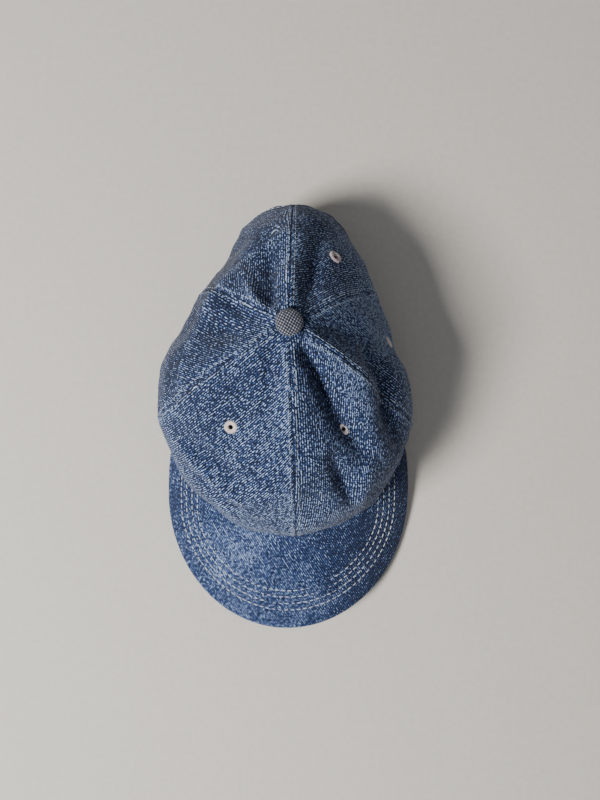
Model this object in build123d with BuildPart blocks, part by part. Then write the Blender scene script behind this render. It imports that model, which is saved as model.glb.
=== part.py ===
from build123d import *
import os
from math import asin, cos, degrees, radians, sin, sqrt, tan

os.makedirs("parts", exist_ok=True)

# A soft six-panel baseball cap of denim, standing on its back hem and on the two side edges of
# its brim. +Z is up through the crown, the brim points towards -Y and +X is the cap's right-hand
# side as seen from above with the brim at the bottom. The origin is on the ground, under the
# middle of the cap's box. All sizes are in millimetres and degrees.

# Crown: the hem lies in a plane that rises towards the brim.
CROWN_TILT = 8.0
HEM_BACK = (0.0, 133.9, -1.56)
HEM_LENGTH = 207.0
FRONT_RADIUS = 80.5
BACK_RADIUS = 48.0
BUTTON_FROM_BACK = 93.2
CLOTH = 1.2
# Share of the hem's outline that is left at each height over the hem plane.
MERIDIAN = (
    (0.0, 1.0),
    (14.0, 1.02),
    (30.0, 1.03),
    (46.0, 1.0),
    (62.0, 0.915),
    (77.0, 0.775),
    (90.0, 0.58),
    (99.0, 0.37),
    (104.0, 0.19),
    (106.0, 0.08),
)
CROWN_HEIGHT = MERIDIAN[-1][0]
PANELS = 6
PANEL_NAMES = (
    "front_right",
    "side_right",
    "back_right",
    "back_left",
    "side_left",
    "front_left",
)
SEAM_NAMES = ("front", "front_right", "back_right", "back", "back_left", "front_left")
PANEL_ANGLE = 360 / PANELS

# Air eyelets: distance from the button's axis on front, side and back panels.
EYELET_REACH = {"front": 66.0, "side": 63.0, "back": 53.0}
EYELET_RADIUS = 4.25
EYELET_HOLE_RADIUS = 1.5
EYELET_PROUD = 0.45

# Inside of the crown.
TAPE_WIDTH = 13.0
TAPE_THICKNESS = 0.6
TAPE_STARTS_AT = 11.5
BAND_HEIGHT = 36.0
BAND_THICKNESS = 1.2
BAND_FRONT_RADIUS = 78.3
BAND_BACK_RADIUS = 40.5
BAND_GAP = 67.0

# Back opening and the tape that binds its edge.
ARCH_RADIUS = 32.0
ARCH_STRAIGHT = 16.0
BINDING_WIDTH = 7.0
BINDING_PLY = 0.4

# Brim: three bent layers, round one cylinder whose crest falls towards the tip.
BRIM_SLOPE = 14.0
BRIM_ROOT = (0.0, -72.0, 36.2)
BRIM_BEND_RADIUS = 122.0
COVER_THICKNESS = 0.9
BOARD_THICKNESS = 2.0
BRIM_HALF_WIDTH = 82.0
BRIM_WIDEST_Y = -54.5
BRIM_TIP_Y = -140.5
BRIM_END = (77.6, -14.0)
BRIM_HEM = 1.5

# Button on the top of the crown.
BUTTON_RADIUS = 7.7
BUTTON_HEIGHT = 5.6
BUTTON_EDGE = 2.4
BUTTON_COVER = 0.6
BUTTON_GAP = 0.2
RIVET_RADIUS = 1.4
RIVET_IN_CORE = 3.0
RIVET_HEAD = (2.4, 0.8)
WASHER = (5.5, 0.8)
RIVET_HOLE_RADIUS = 1.45

# Size adjuster: an arc-shaped strap about the centre of the crown's back curve. Angles are
# measured from the back, positive to the right.
STRAP_RADIUS = 42.8
STRAP_THICKNESS = 1.6
STRAP_LOW = 4.0
STRAP_WIDTH = 20.0
STRAP_ENDS = (-76.0, 48.0)
TAB_RADIUS = 45.2
TAB_THICKNESS = 1.0
TAB_END = 56.0
CHEEK_GAP = 21.0
CHEEK = 1.2
FRAME_RADII = (41.7, 49.2)
FRAME_PLATE = 0.8
FRAME_ENDS = (9.0, 31.5)
BAR_RADIUS = 0.7
BAR_AT = (46.0, 28.5)
PIN_RADIUS = 0.8
PIN_AT = (46.9, 13.0)
PIN_PROUD = 0.4
LEVER_RADII = (47.6, 48.6)
LEVER_END = 32.5
LEVER_WIDTH = 20.3
LEVER_LIP = 1.3
CAM_RADIUS = 1.85
CAM_OFFSET = 0.4
RUNNING_FIT = 0.05

BEYOND = 200.0

tilt = radians(CROWN_TILT)
hem_plane = Plane(origin=HEM_BACK, x_dir=(1, 0, 0), z_dir=(0, sin(tilt), cos(tilt)))
back_centre = -BACK_RADIUS
front_centre = FRONT_RADIUS - HEM_LENGTH
button_y = -BUTTON_FROM_BACK
seam_lean = asin((FRONT_RADIUS - BACK_RADIUS) / (back_centre - front_centre))

# The arch is cut from behind the cap forwards.
arch_depth = 60.0
arch_start = 20.0
arch_plane = Plane(
    origin=hem_plane.from_local_coords((0, arch_start, 0)),
    x_dir=(1, 0, 0),
    z_dir=(0, -cos(tilt), sin(tilt)),
)

slope = radians(BRIM_SLOPE)
brim_axis = Plane(
    origin=(
        0,
        BRIM_ROOT[1] + BRIM_BEND_RADIUS * sin(slope),
        BRIM_ROOT[2] - BRIM_BEND_RADIUS * cos(slope),
    ),
    x_dir=(1, 0, 0),
    z_dir=(0, -cos(slope), -sin(slope)),
)
board_top = BRIM_BEND_RADIUS - COVER_THICKNESS
board_bottom = board_top - BOARD_THICKNESS
brim_bottom = board_bottom - COVER_THICKNESS


def egg(front_radius, back_radius, front_y, back_y):
    """A closed outline: a large arc at the front, a small one at the back, and their tangents."""
    lean = asin((front_radius - back_radius) / (back_y - front_y))
    front_x, front_up = front_radius * cos(lean), front_radius * sin(lean)
    back_x, back_up = back_radius * cos(lean), back_radius * sin(lean)
    with BuildLine() as outline:
        ThreePointArc(
            (-front_x, front_y + front_up),
            (0, front_y - front_radius),
            (front_x, front_y + front_up),
        )
        Line((front_x, front_y + front_up), (back_x, back_y + back_up))
        ThreePointArc(
            (back_x, back_y + back_up),
            (0, back_y + back_radius),
            (-back_x, back_y + back_up),
        )
        Line((-back_x, back_y + back_up), (-front_x, front_y + front_up))
    return outline.line


def crown_form(inset):
    """The crown as a full body, its surface set in by inset from the outside of the cloth."""
    with BuildPart() as form:
        for level, share in MERIDIAN:
            height = level * (CROWN_HEIGHT - inset) / CROWN_HEIGHT
            with BuildSketch(hem_plane.offset(height)):
                add(
                    egg(
                        FRONT_RADIUS * share - inset,
                        BACK_RADIUS * share - inset,
                        button_y + (front_centre - button_y) * share,
                        button_y + (back_centre - button_y) * share,
                    )
                )
                make_face()
        loft()
    return form.part


def under_brim(radius):
    """All that lies under one of the brim's bent faces, in front of the brim's ends."""
    with BuildPart() as body:
        with BuildSketch(brim_axis):
            Circle(radius)
        extrude(amount=BEYOND, both=True)
        with BuildSketch(Plane.XY.offset(-BEYOND)):
            with Locations((0, BRIM_END[1])):
                Rectangle(2 * BEYOND, BEYOND, align=(Align.CENTER, Align.MAX))
        extrude(amount=2 * BEYOND, mode=Mode.INTERSECT)
    return body.part


def arch_prism(grow):
    """The back opening as a prism through the back of the crown, larger by grow all round."""
    with BuildPart() as prism:
        with BuildSketch(arch_plane):
            with Locations((0, ARCH_STRAIGHT)):
                Circle(ARCH_RADIUS + grow)
                Rectangle(
                    2 * (ARCH_RADIUS + grow),
                    2 * ARCH_STRAIGHT,
                    align=(Align.CENTER, Align.MAX),
                )
        extrude(amount=arch_depth)
    return prism.part


def wedge(first_angle):
    """The sixth part of the crown's space that starts at an angle from the front."""
    ends = [radians(first_angle), radians(first_angle + PANEL_ANGLE)]
    with BuildPart() as space:
        with BuildSketch(hem_plane):
            with BuildLine():
                Polyline(
                    (0, button_y),
                    *[(BEYOND * sin(a), button_y - BEYOND * cos(a)) for a in ends],
                    close=True,
                )
            make_face()
        extrude(amount=BEYOND)
    return space.part


def eyelet_plane(panel):
    """Where a panel's eyelet lies, on the middle of the cloth, facing out."""
    name = PANEL_NAMES[panel]
    angle = radians((panel + 0.5) * PANEL_ANGLE)
    reach = EYELET_REACH[name.split("_")[0]]
    above = hem_plane.from_local_coords(
        (reach * sin(angle), button_y - reach * cos(angle), BEYOND)
    )
    hits = crown_outside.find_intersection_points(Axis(above, -hem_plane.z_dir))
    point, normal = max(hits, key=lambda hit: hit[0].Z)
    outward = normal if normal.Z > 0 else -normal
    return Plane(origin=point - outward * CLOTH / 2, z_dir=outward)


def panel(index):
    """One gore of the crown, from the button's rivet to the hem, with its eyelet's hole."""
    place = eyelet_plane(index)
    with BuildPart() as cloth:
        add(crown_outside)
        add(crown_inside, mode=Mode.SUBTRACT)
        add(wedge(index * PANEL_ANGLE), mode=Mode.INTERSECT)
        if PANEL_NAMES[index].startswith("back"):
            add(arch, mode=Mode.SUBTRACT)
        else:
            add(brim_space, mode=Mode.SUBTRACT)
        with BuildSketch(place):
            Circle(EYELET_RADIUS)
        extrude(amount=3 * CLOTH, both=True, mode=Mode.SUBTRACT)
        with BuildSketch(hem_plane.offset(CROWN_HEIGHT / 2)):
            with Locations((0, button_y)):
                Circle(RIVET_HOLE_RADIUS)
        extrude(amount=CROWN_HEIGHT, mode=Mode.SUBTRACT)
    return cloth.part


def eyelet(index):
    """A ring of close stitches round an air hole."""
    with BuildPart() as ring:
        with BuildSketch(eyelet_plane(index)):
            Circle(EYELET_RADIUS)
            Circle(EYELET_HOLE_RADIUS, mode=Mode.SUBTRACT)
        extrude(amount=CLOTH / 2 + EYELET_PROUD, both=True)
        fillet(ring.edges().filter_by(GeomType.CIRCLE), radius=EYELET_PROUD * 0.9)
    return ring.part


def seam_tape(index):
    """A tape over a seam on the inside of the crown, from the washer down to the hem."""
    angle = index * PANEL_ANGLE
    along = Plane(
        origin=hem_plane.from_local_coords((0, button_y, 0)),
        x_dir=hem_plane.x_dir.rotate(Axis((0, 0, 0), hem_plane.z_dir), angle),
        z_dir=hem_plane.z_dir,
    )
    with BuildPart() as tape:
        add(crown_inside)
        add(tape_inside, mode=Mode.SUBTRACT)
        with BuildSketch(along):
            with Locations((0, -TAPE_STARTS_AT)):
                Rectangle(TAPE_WIDTH, BEYOND, align=(Align.CENTER, Align.MAX))
        extrude(amount=BEYOND, mode=Mode.INTERSECT)
        if SEAM_NAMES[index] == "back":
            add(binding_space, mode=Mode.SUBTRACT)
        elif SEAM_NAMES[index].startswith("front"):
            add(brim_space, mode=Mode.SUBTRACT)
    return tape.part


def egg_prism(front_radius, back_radius, low, high):
    """A straight-sided body over one egg-shaped outline, in the hem's frame."""
    with BuildPart() as prism:
        with BuildSketch(hem_plane.offset(low)):
            add(egg(front_radius, back_radius, front_centre, back_centre))
            make_face()
        extrude(amount=high - low)
    return prism.part


def sweatband():
    """The band inside the hem, which stands off the cloth at the back to let the strap past."""
    with BuildPart() as band:
        add(egg_prism(BAND_FRONT_RADIUS, BAND_BACK_RADIUS, 0, BAND_HEIGHT))
        add(
            egg_prism(
                BAND_FRONT_RADIUS - BAND_THICKNESS,
                BAND_BACK_RADIUS - BAND_THICKNESS,
                0,
                BAND_HEIGHT,
            ),
            mode=Mode.SUBTRACT,
        )
        with BuildSketch(hem_plane):
            with Locations((0, back_centre)):
                Rectangle(BAND_GAP, BEYOND, align=(Align.CENTER, Align.MIN))
        extrude(amount=BAND_HEIGHT, mode=Mode.SUBTRACT)
        add(under_brim(brim_bottom), mode=Mode.SUBTRACT)
    return band.part


def binding():
    """A folded tape over the raw edge of the back opening, on both faces of the cloth."""
    with BuildPart() as tape:
        add(crown_form(-BINDING_PLY))
        add(crown_form(CLOTH + BINDING_PLY), mode=Mode.SUBTRACT)
        add(arch_prism(BINDING_WIDTH), mode=Mode.INTERSECT)
        add(arch_prism(-BINDING_PLY), mode=Mode.SUBTRACT)
        with BuildSketch(hem_plane):
            Rectangle(BEYOND, BEYOND)
        extrude(amount=BEYOND, mode=Mode.INTERSECT)
        for index, name in enumerate(PANEL_NAMES):
            if name.startswith("back"):
                add(cloth_panels[index], mode=Mode.SUBTRACT)
    return tape.part


def brim_prism(inset):
    """The brim's outline from above as a prism, less the room for the head, set in by inset."""
    end_x, end_y = BRIM_END[0] - inset, BRIM_END[1] - inset
    half_width = BRIM_HALF_WIDTH - inset
    with BuildPart() as prism:
        with BuildSketch():
            with BuildLine():
                right = Bezier(
                    (end_x, end_y),
                    (half_width - 1.1, -26.0),
                    (half_width, -40.0),
                    (half_width, BRIM_WIDEST_Y),
                )
                EllipticalCenterArc(
                    (0, BRIM_WIDEST_Y),
                    half_width,
                    BRIM_WIDEST_Y - BRIM_TIP_Y - inset,
                    start_angle=180,
                    arc_size=180,
                )
                mirror(right, about=Plane.YZ)
                Line((-end_x, end_y), (end_x, end_y))
            make_face()
        extrude(amount=BEYOND / 2)
        head_radius = BAND_FRONT_RADIUS + inset
        add(
            egg_prism(head_radius, BACK_RADIUS, -BAND_HEIGHT, 2 * BAND_HEIGHT),
            mode=Mode.SUBTRACT,
        )
    return prism.part


def bent_layer(outer, inner, outline):
    """One bent layer of the brim between two radii."""
    with BuildPart() as layer:
        with BuildSketch(brim_axis):
            Circle(outer)
            Circle(inner, mode=Mode.SUBTRACT)
        extrude(amount=BEYOND, both=True)
        add(outline, mode=Mode.INTERSECT)
    return layer.part


def brim_top_cover():
    """The cloth over the board, turned down round the board's edge."""
    with BuildPart() as cover:
        add(bent_layer(BRIM_BEND_RADIUS, board_bottom, brim_outline))
        add(board, mode=Mode.SUBTRACT)
    return cover.part


def button_profile(radius, edge, height):
    """Half of a domed disc's section in the hem's frame's XZ, standing on z = 0."""
    with BuildLine() as half:
        Line((0, 0), (radius, 0))
        Line((radius, 0), (radius, edge))
        Bezier(
            (radius, edge),
            (radius, edge + 0.55 * (height - edge)),
            (0.55 * radius, height),
            (0, height),
        )
        Line((0, height), (0, 0))
    return half.line


def button_plane(level):
    """The upright plane through the button's axis, with its origin at a level over the hem."""
    return Plane(
        origin=hem_plane.from_local_coords((0, button_y, level)),
        x_dir=(1, 0, 0),
        z_dir=(0, -cos(tilt), sin(tilt)),
    )


def button_cover():
    """The cloth pulled over the button's core."""
    with BuildPart() as cover:
        with BuildSketch(button_plane(button_level)):
            add(button_profile(BUTTON_RADIUS, BUTTON_EDGE, BUTTON_HEIGHT))
            make_face()
        revolve(axis=button_axis)
        add(core, mode=Mode.SUBTRACT)
        with BuildSketch(hem_plane.offset(button_level)):
            with Locations((0, button_y)):
                Circle(BUTTON_RADIUS / 2)
        extrude(amount=BUTTON_COVER, mode=Mode.SUBTRACT)
        add(rivet_shank, mode=Mode.SUBTRACT)
    return cover.part


def button_core():
    """The moulded core under the cloth, with a socket for the rivet."""
    with BuildPart() as body:
        with BuildSketch(button_plane(button_level + BUTTON_COVER)):
            add(
                button_profile(
                    BUTTON_RADIUS - BUTTON_COVER,
                    BUTTON_EDGE - BUTTON_COVER,
                    BUTTON_HEIGHT - 2 * BUTTON_COVER,
                )
            )
            make_face()
        revolve(axis=button_axis)
        with BuildSketch(hem_plane.offset(button_level)):
            with Locations((0, button_y)):
                Circle(RIVET_RADIUS)
        extrude(amount=BUTTON_COVER + RIVET_IN_CORE, mode=Mode.SUBTRACT)
    return body.part


def disc(part_level, radius, height, hole=0.0):
    """A disc on the button's axis, from a level over the hem upwards."""
    with BuildPart() as body:
        with BuildSketch(hem_plane.offset(part_level)):
            with Locations((0, button_y)):
                Circle(radius)
                if hole:
                    Circle(hole, mode=Mode.SUBTRACT)
        extrude(amount=height)
    return body.part


def button_rivet():
    """The rivet that holds the button, the six panel tips and the washer together."""
    head_radius, head_height = RIVET_HEAD
    bottom = washer_level - head_height
    top = button_level + BUTTON_COVER + RIVET_IN_CORE
    with BuildPart() as rivet:
        add(disc(bottom, head_radius, head_height))
        add(disc(bottom, RIVET_RADIUS, top - bottom))
    return rivet.part


def sector(inner, outer, start, end):
    """A ring sector about the centre of the crown's back curve, angles from the back."""
    centre = (0, back_centre)
    turn = end - start
    with BuildLine() as outline:
        outside = CenterArc(centre, outer, 90 - end, turn)
        inside = CenterArc(centre, inner, 90 - end, turn)
        Line(outside @ 0, inside @ 0)
        Line(outside @ 1, inside @ 1)
    return outline.line


def at_back(radius, angle):
    """A point at a radius from the centre of the back curve, its angle taken from the back."""
    a = radians(angle)
    return (radius * sin(a), back_centre + radius * cos(a))


def strap():
    """The cloth strap that runs over the back opening and through the buckle."""
    with BuildPart() as body:
        with BuildSketch(hem_plane.offset(STRAP_LOW)):
            add(sector(STRAP_RADIUS, STRAP_RADIUS + STRAP_THICKNESS, *STRAP_ENDS))
            make_face()
        extrude(amount=STRAP_WIDTH)
    return body.part


def buckle_tab():
    """The folded tape that ties the buckle's bar to the right back panel."""
    with BuildPart() as tab:
        with BuildSketch(hem_plane.offset(STRAP_LOW)):
            add(sector(TAB_RADIUS, TAB_RADIUS + TAB_THICKNESS, BAR_AT[1], TAB_END))
            make_face()
            with Locations(at_back(*BAR_AT)):
                Circle(BAR_RADIUS + TAB_THICKNESS / 2)
                Circle(BAR_RADIUS, mode=Mode.SUBTRACT)
        extrude(amount=STRAP_WIDTH)
    return tab.part


def buckle_frame():
    """A plate under the strap with two cheeks, a bar for the tab and holes for the pin."""
    low = frame_low
    inner, outer = FRAME_RADII
    with BuildPart() as body:
        with BuildSketch(hem_plane.offset(low)):
            add(sector(inner, inner + FRAME_PLATE, *FRAME_ENDS))
            make_face()
        extrude(amount=frame_width)
        for level in (low, low + frame_width - CHEEK):
            with BuildSketch(hem_plane.offset(level)):
                add(sector(inner, outer, *FRAME_ENDS))
                make_face()
                with Locations(at_back(*PIN_AT)):
                    Circle(PIN_RADIUS, mode=Mode.SUBTRACT)
            extrude(amount=CHEEK)
        with BuildSketch(hem_plane.offset(low)):
            with Locations(at_back(*BAR_AT)):
                Circle(BAR_RADIUS)
        extrude(amount=frame_width)
    return body.part


def buckle_pin():
    """The pin that the lever turns on."""
    with BuildPart() as pin:
        with BuildSketch(hem_plane.offset(frame_low - PIN_PROUD)):
            with Locations(at_back(*PIN_AT)):
                Circle(PIN_RADIUS)
        extrude(amount=frame_width + 2 * PIN_PROUD)
    return pin.part


def buckle_lever():
    """The lever, closed over the tab, with a round cam that bears towards the strap."""
    inner, outer = LEVER_RADII
    pin_radius, pin_angle = PIN_AT
    low = STRAP_LOW + (STRAP_WIDTH - LEVER_WIDTH) / 2
    with BuildPart() as lever:
        with BuildSketch(hem_plane.offset(low)):
            add(sector(inner, outer, pin_angle, LEVER_END))
            make_face()
            with Locations(at_back(pin_radius - CAM_OFFSET, pin_angle)):
                Circle(CAM_RADIUS)
            with Locations(at_back((inner + outer) / 2 + LEVER_LIP / 2, LEVER_END)):
                Circle(LEVER_LIP)
            with Locations(at_back(pin_radius, pin_angle)):
                Circle(PIN_RADIUS + RUNNING_FIT, mode=Mode.SUBTRACT)
        extrude(amount=LEVER_WIDTH)
    return lever.part


def save(part, name):
    """Labels a finished piece and writes it as a node of its own."""
    part.label = name
    export_step(part, f"parts/{name}.step")


crown_outside = crown_form(0)
crown_inside = crown_form(CLOTH)
tape_inside = crown_form(CLOTH + TAPE_THICKNESS)
brim_space = under_brim(BRIM_BEND_RADIUS)
arch = arch_prism(0)
binding_space = arch_prism(BINDING_WIDTH)

cloth_panels = [panel(index) for index in range(PANELS)]
for index, name in enumerate(PANEL_NAMES):
    save(cloth_panels[index], f"{name}_panel")
    save(eyelet(index), f"{name}_eyelet")
for index, name in enumerate(SEAM_NAMES):
    save(seam_tape(index), f"{name}_seam_tape")
save(sweatband(), "sweatband")
save(binding(), "back_opening_binding")

brim_outline = brim_prism(0)
board = bent_layer(board_top, board_bottom, brim_prism(BRIM_HEM))
save(board, "brim_board")
save(brim_top_cover(), "brim_top_cover")
save(bent_layer(board_bottom, brim_bottom, brim_outline), "brim_under_cover")

button_level = CROWN_HEIGHT + BUTTON_GAP
washer_level = CROWN_HEIGHT - 2 * CLOTH - WASHER[1]
button_axis = Axis(hem_plane.from_local_coords((0, button_y, 0)), hem_plane.z_dir)
rivet_shank = disc(button_level, RIVET_RADIUS, BUTTON_COVER + RIVET_IN_CORE)
core = button_core()
save(core, "button_core")
save(button_cover(), "button_cover")
save(button_rivet(), "button_rivet")
save(disc(washer_level, *WASHER, hole=RIVET_HOLE_RADIUS), "button_washer")

frame_width = CHEEK_GAP + 2 * CHEEK
frame_low = STRAP_LOW + (STRAP_WIDTH - frame_width) / 2
save(strap(), "adjuster_strap")
save(buckle_tab(), "buckle_tab")
save(buckle_frame(), "buckle_frame")
save(buckle_pin(), "buckle_pin")
save(buckle_lever(), "buckle_lever")
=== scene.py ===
from math import asin, cos, pi, radians, sin, sqrt

import bpy
import numpy as np
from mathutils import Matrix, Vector
from mathutils.bvhtree import BVHTree


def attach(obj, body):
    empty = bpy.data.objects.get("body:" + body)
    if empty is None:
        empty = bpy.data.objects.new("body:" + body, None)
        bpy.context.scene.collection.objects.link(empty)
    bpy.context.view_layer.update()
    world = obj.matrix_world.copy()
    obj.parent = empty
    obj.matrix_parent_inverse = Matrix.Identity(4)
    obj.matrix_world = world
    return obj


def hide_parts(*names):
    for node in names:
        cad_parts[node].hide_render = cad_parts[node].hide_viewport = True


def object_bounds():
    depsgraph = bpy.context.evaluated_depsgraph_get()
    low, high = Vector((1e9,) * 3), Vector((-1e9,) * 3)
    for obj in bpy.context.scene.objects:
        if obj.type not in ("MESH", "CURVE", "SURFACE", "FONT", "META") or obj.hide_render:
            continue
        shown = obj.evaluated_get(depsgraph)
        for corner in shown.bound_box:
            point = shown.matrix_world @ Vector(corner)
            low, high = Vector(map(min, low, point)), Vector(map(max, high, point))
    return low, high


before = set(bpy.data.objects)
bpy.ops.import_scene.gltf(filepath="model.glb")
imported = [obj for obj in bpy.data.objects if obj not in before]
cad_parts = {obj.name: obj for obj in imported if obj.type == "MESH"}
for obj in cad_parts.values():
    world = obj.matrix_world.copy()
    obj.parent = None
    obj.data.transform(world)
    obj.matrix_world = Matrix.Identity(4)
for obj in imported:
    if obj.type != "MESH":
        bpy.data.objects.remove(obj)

# Lengths below are in millimetres; meshes are made in metres. Angles are in radians, or in degrees
# where they are turned into radians on the spot.
MM = 0.001
PER_METRE = 1000.0
cad_lo, cad_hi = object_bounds()

# ---------------------------------------------------------------- the crown's own frame
TILT = radians(8.0)
HEM_BACK = np.array((0.0, 133.9, -1.56))
ACROSS = np.array((1.0, 0.0, 0.0))
BACKWARD = np.array((0.0, cos(TILT), -sin(TILT)))
UPWARD = np.array((0.0, sin(TILT), cos(TILT)))
HEM_LENGTH = 207.0
FRONT_RADIUS, BACK_RADIUS = 80.5, 48.0
FRONT_CENTRE, BACK_CENTRE = FRONT_RADIUS - HEM_LENGTH, -BACK_RADIUS
BUTTON_BACK = -93.2
# Height over the hem and the share of the hem's outline left there.
MERIDIAN = (
    (0.0, 1.0), (14.0, 1.02), (30.0, 1.03), (46.0, 1.0), (62.0, 0.915),
    (77.0, 0.775), (90.0, 0.58), (99.0, 0.37), (104.0, 0.19), (106.0, 0.0),
)
CLOTH = 1.1
# The panels begin this far from the button's axis; the crown reaches about this far from it.
TOP_GAP, MEAN_REACH = 3.0, 95.0
EYELET_HOLE = 2.3
SEAM_STITCH = 2.3
PANELS = ("front_right", "side_right", "back_right", "back_left", "side_left", "front_left")
SEAMS = ("front", "front_right", "back_right", "back", "back_left", "front_left")
COLUMNS, ROWS = 96, 150
AROUND = 6 * COLUMNS
CURVE_POINTS = 600

# ---------------------------------------------------------------- the brim
SLOPE = radians(14.0)
BEND = 122.0
BRIM_ROOT = np.array((0.0, -72.0, 36.2))
BRIM_OUT = np.array((0.0, -cos(SLOPE), -sin(SLOPE)))
BRIM_UP = np.array((0.0, -sin(SLOPE), cos(SLOPE)))
BRIM_AXIS = BRIM_ROOT - BEND * BRIM_UP
BRIM_THICK = 3.8
BRIM_COVER = 0.85
HALF_WIDTH, WIDEST_Y, TIP_Y = 82.0, -54.5, -140.5
BRIM_END = (77.6, -14.0)
BRIM_ROWS = (14.2, 19.0, 23.8, 28.4)
ROOT_CENTRE, ROOT_RADIUS = 9.5, 78.7

# ---------------------------------------------------------------- the back
ARCH_RADIUS, ARCH_STRAIGHT = 32.0, 16.0
BINDING_WIDTH = 7.0

# ---------------------------------------------------------------- cloths, tapes and threads
TWILL_PITCH_SCALE = 0.238
TAPE_WIDTH, TAB_WIDTH = 12.6, 19.6
BAND_WIDTH, BAND_THICK = 31.0, 1.1
BAND_FRONT, BAND_BACK = 77.6, 40.0
BRIM_STITCH = {"length": 2.9, "gap": 1.3, "thick": 0.3, "proud": 0.2}


def from_hem(x, back, up):
    """Points in the row frame from a place across, backward and upward over the hem plane."""
    x, back, up = np.broadcast_arrays(np.asarray(x, float), back, up)
    return HEM_BACK + x[..., None] * ACROSS + back[..., None] * BACKWARD + up[..., None] * UPWARD


def smooth_path(points, count):
    """A Catmull-Rom curve through a few points, resampled evenly along its length."""
    p = np.asarray(points, float)
    p = np.vstack((2 * p[0] - p[1], p, 2 * p[-1] - p[-2]))
    out = []
    for a, b, c, d in zip(p, p[1:], p[2:], p[3:]):
        t = np.linspace(0, 1, 24, endpoint=False)[:, None]
        out.append(0.5 * (2 * b + (c - a) * t + (2 * a - 5 * b + 4 * c - d) * t**2
                          + (3 * b - a - 3 * c + d) * t**3))
    return resample(np.vstack((*out, p[-2:-1])), count)


def lengths_along(points):
    """Length along a polyline from its first point to each of its points."""
    return np.r_[0, np.cumsum(np.linalg.norm(np.diff(points, axis=0), axis=1))]


def read_along(at, steps, values):
    """Points or directions of a polyline, read at lengths along it."""
    return np.stack([np.interp(at, steps, column) for column in values.T], axis=1)


def resample(points, count):
    """A polyline's points moved so that they are evenly spaced."""
    steps = lengths_along(points)
    return read_along(np.linspace(0, steps[-1], count), steps, points)


def bezier(control, count):
    """A cubic curve from its first control point to its fourth."""
    t = np.linspace(0, 1, count)[:, None]
    a, b, c, d = (np.array(point) for point in control)
    return (1 - t)**3 * a + 3 * t * (1 - t)**2 * b + 3 * t**2 * (1 - t) * c + t**3 * d


def unit(v):
    return v / np.maximum(np.linalg.norm(v, axis=-1, keepdims=True), 1e-9)


def soft_noise(points, size, seed):
    """Smooth noise of about -1 to 1 with features of about size, from seeded waves."""
    rng = np.random.default_rng(seed)
    total = np.zeros(points.shape[:-1])
    for _ in range(14):
        direction = rng.normal(size=points.shape[-1])
        direction *= rng.uniform(0.6, 1.5) / np.linalg.norm(direction)
        total += np.cos(points @ direction * (2 * pi / size) + rng.uniform(0, 2 * pi))
    return total / 3.7


def bump_on(x, centre, width):
    return np.exp(-(((x - centre) / width) ** 2))


def smoothstep(x, low, high):
    t = np.clip((x - low) / (high - low), 0, 1)
    return t * t * (3 - 2 * t)


# ---------------------------------------------------------------- meshes
def make_mesh(name, vertices, faces, uv=None, wear=None):
    """A smooth-shaded mesh object from points in millimetres and a list of faces."""
    mesh = bpy.data.meshes.new(name)
    mesh.from_pydata((np.asarray(vertices) * MM).tolist(), [], [list(map(int, f)) for f in faces])
    if uv is not None:
        layer = mesh.uv_layers.new(name="cloth")
        loops = np.empty(len(mesh.loops), np.int32)
        mesh.loops.foreach_get("vertex_index", loops)
        layer.data.foreach_set("uv", (np.asarray(uv) * MM)[loops].astype(np.float32).ravel())
    if wear is not None:
        data = mesh.attributes.new("wear", "FLOAT", "POINT")
        data.data.foreach_set("value", np.asarray(wear, np.float32).ravel())
    mesh.shade_smooth()
    obj = bpy.data.objects.new(name, mesh)
    bpy.context.scene.collection.objects.link(obj)
    return obj


def grid_quads(rows, columns, base=0, closed=False, flip=False):
    """Quads over a grid of points, kept in row order."""
    i = np.arange(rows - 1)[:, None]
    j = np.arange(columns if closed else columns - 1)[None, :]
    k = (j + 1) % columns
    quads = np.stack((i * columns + j, i * columns + k, (i + 1) * columns + k,
                      (i + 1) * columns + j), axis=-1).reshape(-1, 4) + base
    return quads[:, ::-1] if flip else quads


def tube_faces(rings, around, first=0):
    """Faces of a closed body through a row of rings of points, with flat ends."""
    last = first + (rings - 1) * around
    faces = grid_quads(rings, around, first, closed=True).tolist()
    return faces + [list(range(first + around - 1, first - 1, -1)), list(range(last, last + around))]


def torus_quads(around, across, base=0):
    """Quads over a grid of points that closes in both directions."""
    i, j = np.arange(around)[:, None], np.arange(across)[None, :]
    ahead, beside = (i + 1) % around, (j + 1) % across
    corners = ((i, j), (i, beside), (ahead, beside), (ahead, j))
    quads = np.stack(np.broadcast_arrays(*(row * across + column for row, column in corners)), axis=-1)
    return quads.reshape(-1, 4) + base


def shell(name, outer, inner, uv=None, wear=None, keep=None):
    """A closed shell between two grids of points, without the cells that keep leaves out."""
    rows, columns = outer.shape[:2]
    n = rows * columns
    keep = np.ones((rows - 1, columns - 1), bool) if keep is None else keep
    cells = grid_quads(rows, columns).reshape(rows - 1, columns - 1, 4)
    faces = [cells[keep], cells[keep][:, ::-1] + n]
    padded = np.pad(keep, 1)
    sides = ((padded[:-2, 1:-1], 0, 1), (padded[1:-1, 2:], 1, 2),
             (padded[2:, 1:-1], 2, 3), (padded[1:-1, :-2], 3, 0))
    for neighbour, a, b in sides:
        edge = cells[keep & ~neighbour]
        faces.append(np.stack((edge[:, b], edge[:, a], edge[:, a] + n, edge[:, b] + n), axis=1))
    faces = np.vstack(faces)
    points = np.vstack((outer.reshape(-1, 3), inner.reshape(-1, 3)))
    used = np.unique(faces)
    order = np.full(len(points), -1)
    order[used] = np.arange(len(used))

    def twice(values, width):
        flat = np.asarray(values).reshape(n, width)
        return np.vstack((flat, flat))[used]

    return make_mesh(name, points[used], order[faces],
                     None if uv is None else twice(uv, 2),
                     None if wear is None else twice(wear, 1))


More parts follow.
